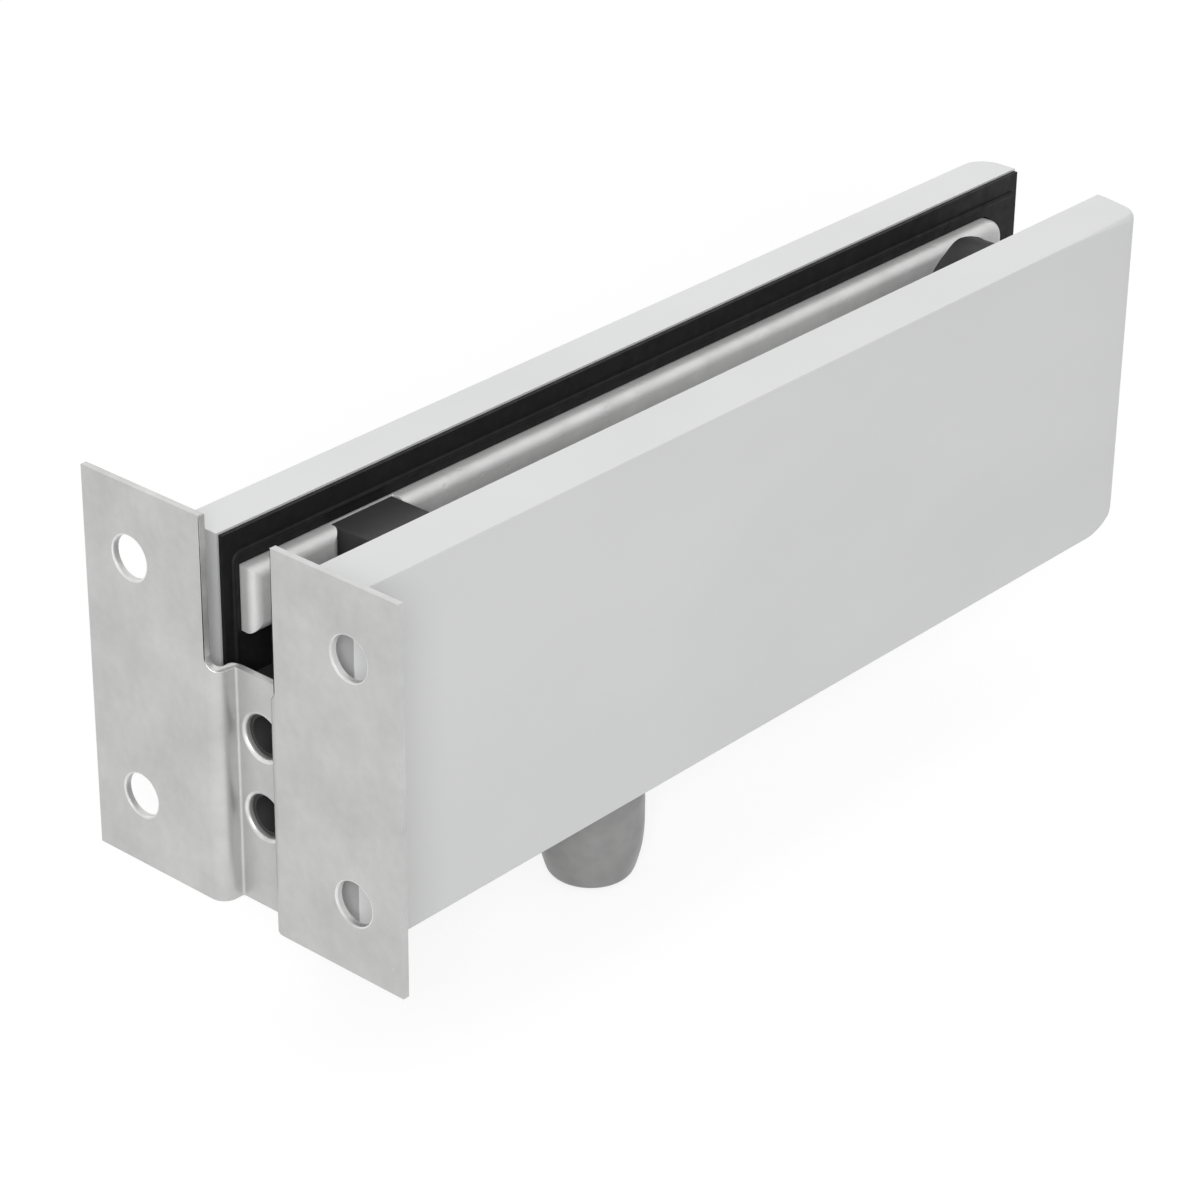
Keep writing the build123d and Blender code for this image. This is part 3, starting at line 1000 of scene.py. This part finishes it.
@dataclass
class PivotPin(Piece):
    """The turned pin: shank in the core, collar, neck, straight band and crowned tip.

    Attributes:
        barrel: largest radius.
        band: lowest and highest level of the straight stretch, from the tip.
        tip: radius at the foot of the crown.
        tip_reach: how far the rounding of the tip reaches along each of its sides.
        tip_border: width of the flat ring inside the rounding.
        neck: radius under the collar.
        collar: radius and height of the collar.
        collar_top: level of the collar's upper face, from the tip.
        shank: radius of the shank.
        shank_edge: bevel of its end.
        edge: radius of the edges from the collar up.
        flat_depth: depth of the flat for the lock screw.
        flat_height: length of that flat.
        flat_level: its middle, from the tip.
        mill: reach and half width of the cutter that mills the flat.
    """

    barrel: float = 7.5
    band: Span = (8.1, 11.1)
    tip: float = 5.9
    tip_reach: float = 1.005
    tip_border: float = 0.8
    neck: float = 5.5
    collar: Ring = (6.5, 1.7)
    collar_top: float = 24.0
    shank: float = 5.0
    shank_edge: float = 0.8
    edge: float = 0.15
    flat_depth: float = 0.5
    flat_height: float = 8.0
    flat_level: float = 36.3
    mill: tuple[float, float] = (4.0, 8.0)

    def build(self) -> Solid:
        """Turn the pin and mill its flat.

        Returns:
            The finished pin.
        """
        low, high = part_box(self.node)
        top = (high.z - low.z) / MM
        collar_low = self.collar_top - self.collar[1]
        pin = turn("turned_pin", [
            *self._tip_rings(),
            *bow((self.barrel, self.band[1]), (self.neck, collar_low)),
            (self.collar[0], collar_low), (self.collar[0], self.collar_top),
            (self.shank, self.collar_top), (self.shank, top - self.shank_edge),
            (self.shank - self.shank_edge, top),
        ])
        lowest = collar_low * MM - TINY
        soften(pin, lambda a, b: min(a.z, b.z) > lowest, self.edge, segments=2, over=SHOULDER, worn_and_highlight=True)
        middle = Vector(((low.x + high.x) / 2, (low.y + high.y) / 2, low.z))
        lay(pin, middle, Vector((0, 0, 1)))
        reach, wide = (size * MM for size in self.mill)
        near = middle.x + (self.shank - self.flat_depth) * MM
        level, half = low.z + self.flat_level * MM, self.flat_height / 2 * MM
        cutter = block("flat_mill", (near, middle.y - wide, level - half),
                       (near + reach, middle.y + wide, level + half))
        combine(pin, cutter, "DIFFERENCE")
        tidy(pin)
        return pin

    def _tip_rings(self) -> list[Ring]:
        """The crowned end with its rounded corner.

        Returns:
            Radius and height of each ring, from the flat tip up to the straight band.
        """
        crown = reversed(bow((self.barrel, self.band[0]), (self.tip, 0.0)))
        side = [ring for ring in crown if ring[1] > self.tip_reach]
        start, corner, end = (self.tip - self.tip_reach, 0.0), (self.tip, 0.0), side[0]
        turn_in = [
            tuple((1 - t) ** 2 * a + 2 * t * (1 - t) * b + t**2 * c for a, b, c in zip(start, corner, end))
            for t in (i / 8 for i in range(8))
        ]
        return [(start[0] - self.tip_border, 0.0), *turn_in, *side]


@dataclass
class Bush(Piece):
    """The round bush in the recess of the lands.

    Attributes:
        bore: radius of its hole.
        bevel: bevel of its rims.
        edge: radius of the edges that the bevel leaves.
    """

    bore: float = 3.3
    bevel: float = 0.5
    edge: float = 0.12

    def build(self) -> Solid:
        """Turn the bush round its bore.

        Returns:
            The finished bush.
        """
        low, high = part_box(self.node)
        length, radius = (high.y - low.y) / MM, (high.z - low.z) / 2 / MM
        bush = turn("moulded_bush", [
            (self.bore, 0), (radius - self.bevel, 0), (radius, self.bevel), (radius, length - self.bevel),
            (radius - self.bevel, length), (self.bore, length), (self.bore, 0),
        ], closed=True)
        lay(bush, Vector(((low.x + high.x) / 2, low.y, (low.z + high.z) / 2)), Vector((0, 1, 0)))
        tidy(bush)
        soften(bush, where(), self.edge, segments=2, over=BEVELLED, worn_and_highlight=True)
        tidy(bush)
        return bush


@dataclass
class SpacerBlock(Piece):
    """The block that carries a clamp screw across the slot.

    Attributes:
        bore: radius of its hole.
        below: height of the bore above the block's foot.
        edge: radius of its edges.
    """

    bore: float = 3.3
    below: float = 11.1
    edge: float = 0.25

    def build(self) -> Solid:
        """Mould the block and bore it.

        Returns:
            The finished block.
        """
        low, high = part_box(self.node)
        body = block("moulded_block", low, high)
        at = Vector(((low.x + high.x) / 2, 0, low.z + self.below * MM))
        beyond = Vector((0, high.y + 1 * MM, 0))
        combine(body, rod("bore", self.bore * MM, at - beyond, at + beyond), "DIFFERENCE")
        soften(body, where(), self.edge, segments=3, over=SHEARED, worn_and_highlight=True)
        tidy(body)
        return body


@dataclass
class Screw(Piece):
    """A screw with a hexagon socket and a rolled thread, which stands for a plain CAD one.

    Attributes:
        along: the way that its point looks.
        diameter: outer diameter of the thread.
        head: diameter of the countersunk head, or 0 for a set screw.
        key: width of the socket across its flats.
        key_depth: depth of the socket.
        pitch: pitch of the thread.
        thread: length of thread, from the point.
        copies: further nodes that the same screw stands for.
        land: height of the head's straight rim, and of the step down to the thread's root.
        root_depth: depth of the thread's root, as a share of the pitch.
        point: bevel of the point, inwards and along.
        bare: least length without thread at the head and at the point.
        ridge: size of the thread's triangle, as a share of the pitch.
        sides: number of sides of the body.
        steps: steps of the thread in one turn.
    """

    along: Vector
    diameter: float
    head: float
    key: float
    key_depth: float
    pitch: float
    thread: float
    copies: tuple[str, ...] = ()
    land: float = 0.3
    root_depth: float = 0.6
    point: tuple[float, float] = (0.5, 0.6)
    bare: tuple[float, float] = (0.4, 0.7)
    ridge: float = 0.42
    sides: int = 48
    steps: int = 24

    def stands_for(self) -> tuple[str, ...]:
        """The node and its further ones."""
        return (self.node, *self.copies)

    def build(self) -> Solid:
        """Turn, broach and thread the screw, then lay it in its place.

        Returns:
            The finished screw.
        """
        low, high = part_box(self.node)
        length = abs((high - low).dot(self.along)) / MM
        screw = self._body(length)
        lay(screw, (low + high) / 2 - self.along * length / 2 * MM, self.along)
        tidy(screw)
        return screw

    def _body(self, length: float) -> Solid:
        """The screw upright on the origin, its head at the foot.

        Args:
            length: overall length, in millimetres.

        Returns:
            The screw with its socket and thread.
        """
        outer, head, (at_head, at_point) = self.diameter / 2, self.head / 2, self.bare
        root = outer - self.root_depth * self.pitch
        begin = length - self.thread
        rings = [(root, 0.0)]
        if self.head:
            rings = [(head, 0.0), (head, self.land), (outer, self.land + head - outer)]
        if begin > at_head + max(head - outer, 0):
            rings += [(outer, begin - self.land), (root, begin)]
        rings += [(root, length - self.point[1]), (root - self.point[0], length)]
        screw = turn(self.node + "_turned", rings, sides=self.sides)
        floor = Vector((0, 0, self.key_depth * MM))
        socket = rod("broach", self.key / math.sqrt(3) * MM, Vector((0, 0, -1 * MM)), floor, 6)
        combine(screw, socket, "DIFFERENCE")
        ridge = self._thread(outer, max(begin, at_head), length - at_point)
        focus(screw)
        ridge.select_set(True)
        bpy.ops.object.join()
        return screw

    def _thread(self, outer: float, start: float, end: float) -> Solid:
        """Wind a triangular ridge round the shank.

        Args:
            outer: outer radius.
            start: level of its first turn.
            end: level of its last.

        Returns:
            The ridge, closed at both ends.
        """
        deselect_everything()
        width = self.ridge * self.pitch * MM
        bpy.ops.mesh.primitive_circle_add(vertices=3, radius=width, rotation=(math.pi / 2, math.pi / 2, 0))
        ridge = bpy.context.object
        settle(ridge)
        edit(ridge, "VERT")
        bpy.ops.mesh.select_all(action="SELECT")
        tip = max(v.co.x for v in ridge.data.vertices)
        bpy.ops.transform.translate(value=(outer * MM - tip, 0, start * MM + width))
        leave_edit()
        turns = max(int((end - start) / self.pitch) - 1, 1)
        modify(ridge, "SCREW", axis="Z", angle=2 * math.pi, screw_offset=self.pitch * MM, iterations=turns,
               steps=self.steps, render_steps=self.steps, use_normal_calculate=True)
        mesh = edit(ridge, "EDGE")
        for edge in mesh.edges:
            edge.select_set(edge.is_boundary)
        bmesh.update_edit_mesh(ridge.data)
        bpy.ops.mesh.fill()
        leave_edit()
        return ridge


# Studio


@dataclass(frozen=True)
class Lamp:
    """A square soft box that looks at the object's middle.

    Attributes:
        name: its name.
        towards: the direction from the middle to the lamp.
        distance: how far away it stands.
        width: its width.
        watts: its power.
    """

    name: str
    towards: tuple[float, float, float]
    distance: float
    width: float
    watts: float

    def build(self, middle: Sequence[float]) -> None:
        """Put up the lamp.

        Args:
            middle: what it looks at.
        """
        offset = Vector(self.towards).normalized() * self.distance
        data = bpy.data.lights.new(self.name, "AREA")
        data.size = self.width * MM
        data.energy = self.watts
        lamp = bpy.data.objects.new(self.name, data)
        lamp.location = (Vector(middle) + offset) * MM
        lamp.rotation_euler = offset.to_track_quat("Z", "Y").to_euler()
        bpy.context.scene.collection.objects.link(lamp)


@dataclass
class Studio:
    """Pale floor, white surround, soft lamps and the camera.

    Attributes:
        floor_level: height of the floor, just under the pin.
        floor_width: width of the floor.
        floor_tone: the floor's own colour.
        floor_rough: its roughness.
        floor_white: level up to which the floor's own light lifts it for the camera.
        camera_at: the camera's place.
        azimuth: direction of view, in degrees from +y towards +x.
        elevation: how far the view looks down, in degrees.
        roll: turn of the picture, in degrees.
        focal_px: focal length in pixels of the square picture.
        picture_px: width of the square picture.
        sensor: width of the camera's sensor.
        clip: nearest and farthest distance that the camera sees.
        surround: level of the surround as light.
        middle: what the lamps look at.
        lamps: the lamps.
    """

    floor_level: float = -49.9
    floor_width: float = 12000
    floor_tone: float = 0.35
    floor_rough: float = 0.9
    floor_white: float = 1.09
    camera_at: tuple[float, float, float] = (-278.992, -302.641, 236.429)
    azimuth: float = 48.771
    elevation: float = 28.017
    roll: float = 0.726
    focal_px: float = 3861.2
    picture_px: float = 1200.0
    sensor: float = 36
    clip: Span = (10, 20000)
    surround: float = 0.50
    middle: tuple[float, float, float] = (85, 0, 0)
    lamps: tuple[Lamp, ...] = (
        Lamp("key", (-0.67, -0.60, 0.44), distance=1400, width=500, watts=13.0),
        Lamp("top_fill", (0.66, 0.58, 0.47), distance=2000, width=3000, watts=10.6),
    )

    def build(self) -> None:
        """Set up everything round the object."""
        bpy.context.scene.view_settings.view_transform = "Standard"
        self._world()
        self._floor()
        for lamp in self.lamps:
            lamp.build(self.middle)
        self._camera()
        LOG.info("studio: floor, surround, camera and %d lamps", len(self.lamps))

    def _camera(self) -> None:
        """Place the camera at the photograph's view."""
        azimuth, elevation, roll = (math.radians(v) for v in (self.azimuth, self.elevation, self.roll))
        level = math.cos(elevation)
        ahead = Vector((math.sin(azimuth) * level, math.cos(azimuth) * level, -math.sin(elevation)))
        right = Vector((math.cos(azimuth), -math.sin(azimuth), 0))
        up = right.cross(ahead)
        turned_right = math.cos(roll) * right + math.sin(roll) * up
        turned_up = math.cos(roll) * up - math.sin(roll) * right
        data = bpy.data.cameras.new("camera")
        data.sensor_width = self.sensor
        data.lens = self.focal_px / self.picture_px * self.sensor
        data.clip_start, data.clip_end = (distance * MM for distance in self.clip)
        camera = bpy.data.objects.new("camera", data)
        camera.matrix_world = Matrix.Translation(Vector(self.camera_at) * MM) @ Matrix(
            (turned_right, turned_up, -ahead)
        ).transposed().to_4x4()
        bpy.context.scene.collection.objects.link(camera)
        bpy.context.scene.camera = camera

    def _world(self) -> None:
        """White to look at, and a softer level as light."""
        world = bpy.data.worlds.new("surround")
        bpy.context.scene.world = world
        graph = Graph(world)
        light = graph.seen(self.surround, 1.0)
        graph.fill(graph.tree.nodes["Background"], Color=(1, 1, 1, 1), Strength=light)

    def _floor(self) -> None:
        """A wide pale floor under the pin, lifted a little so that it shows white."""
        deselect_everything()
        bpy.ops.mesh.primitive_plane_add(size=self.floor_width * MM, location=(0, 0, self.floor_level * MM))
        floor = bpy.context.object
        floor.name = "floor"
        material = bpy.data.materials.new("pale_floor")
        graph = Graph(material)
        graph.fill(
            graph.tree.nodes["Principled BSDF"],
            Base_Color=(*(self.floor_tone,) * 3, 1),
            Roughness=self.floor_rough,
            Specular_IOR_Level=0.0,
            Emission_Color=(1, 1, 1, 1),
            Emission_Strength=graph.seen(0.0, self.floor_white - self.floor_tone),
        )
        floor.data.materials.append(material)


# The object


@dataclass
class PatchFitting:
    """The whole fitting: new pieces and the CAD nodes that stay in view.

    Attributes:
        palette: the finishes.
    """

    palette: Palette = Palette()

    def pieces(self) -> list[Piece]:
        """The pieces modelled here.

        Returns:
            The pieces in the order of building.
        """
        look = self.palette
        into_rear, into_front, into_wall = Vector((0, 1, 0)), Vector((0, -1, 0)), Vector((-1, 0, 0))
        return [
            WallBracket("wall_bracket", look.sheet),
            Cover("front_cover", look.cover, Side.FRONT),
            Cover("rear_cover", look.cover, Side.REAR, crown=0.0),
            SpacerBlock("spacer_block", look.plastic),
            Bush("clamp_bush", look.plastic),
            PivotPin("pivot_pin", look.pin),
            Screw("pin_lock_screw", look.screw, into_wall, diameter=6.0, head=0.0,
                  key=3.0, key_depth=3.5, pitch=1.0, thread=8.0),
            Screw("clamp_screw_left", look.screw, into_rear, diameter=6.0, head=12.0,
                  key=4.0, key_depth=2.2, pitch=1.0, thread=16.0,
                  copies=("clamp_screw_middle", "clamp_screw_right")),
            Screw("core_screw_left", look.screw, into_front, diameter=5.0, head=10.0,
                  key=3.0, key_depth=1.8, pitch=0.8, thread=10.0, copies=("core_screw_right",)),
        ]

    def build(self, nodes: dict[str, Solid]) -> None:
        """Build every sub-assembly and dress what stays of the CAD model.

        Args:
            nodes: the CAD nodes by name.
        """
        stays = dict(nodes)
        for piece in self.pieces():
            piece.make()
            for node in piece.stands_for():
                stays.pop(node)
        look = self.palette
        finishes = {"body": look.cast, "gasket": look.rubber, "core": look.core, "clip": look.spring}
        for name, node in stays.items():
            finish = next(finish for word, finish in finishes.items() if word in name)
            dress(node, finish)
            LOG.info("%s: dressed as %s", name, finish.name)


def main() -> None:
    """Load the frame, build the fitting and its studio."""
    logging.basicConfig(level=logging.INFO, format="%(message)s")
    for leftover in list(bpy.data.objects):
        bpy.data.objects.remove(leftover, do_unlink=True)
    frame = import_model()
    PatchFitting().build(frame["nodes"])
    Studio().build()
    deselect_everything()


if __name__ == "__main__":
    main()
